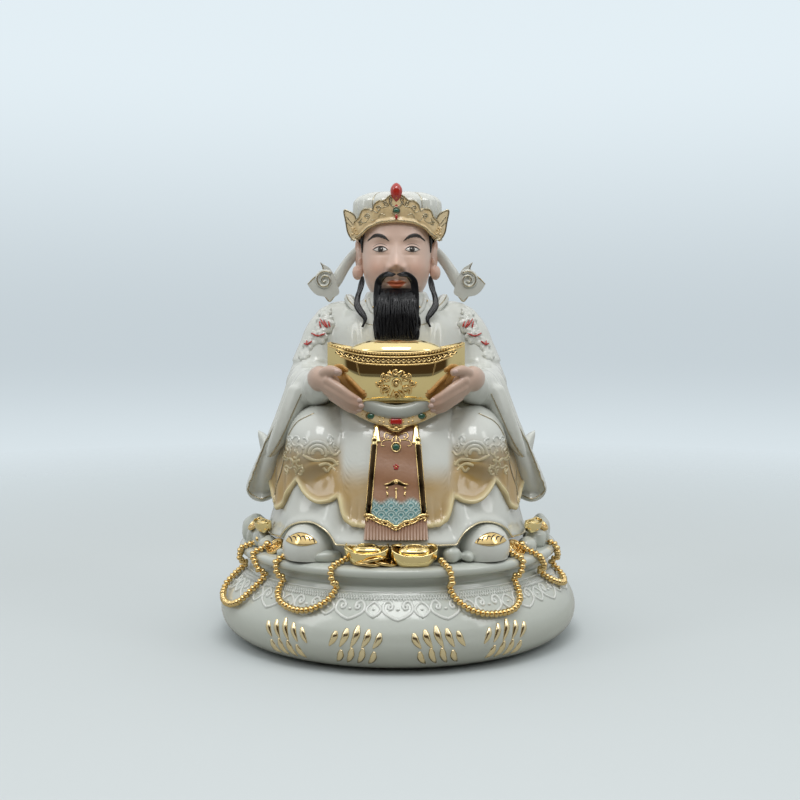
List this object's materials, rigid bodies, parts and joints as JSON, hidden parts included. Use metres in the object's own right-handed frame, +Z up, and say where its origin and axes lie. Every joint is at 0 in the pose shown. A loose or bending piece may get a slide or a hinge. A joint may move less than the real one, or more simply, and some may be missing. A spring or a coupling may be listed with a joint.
{
  "type": "caishen figure",
  "caption": "seated robed wealth god holding a boat-shaped gold ingot, on a round treasure basin, glazed porcelain statuette",
  "frame": {"origin": "centre of the basin's foot, on the surface that it stands on", "axes": "+Z up, +X to the viewer's right, -Y is the side that the figure faces"},
  "size_m": [0.241, 0.241, 0.3],
  "materials": {
    "basin_glaze": "glossy white glaze with gold lustre beads and treasures",
    "figure_glaze": "glossy white glaze, airbrushed apricot lobes, painted face, gold lustre edges",
    "gold_lustre": "mirror gold lustre over glaze"
  },
  "bodies": {
    "root": {"basin": "basin_glaze", "figure": "figure_glaze", "gold_ingot": "gold_lustre"}
  },
  "joints": []
}
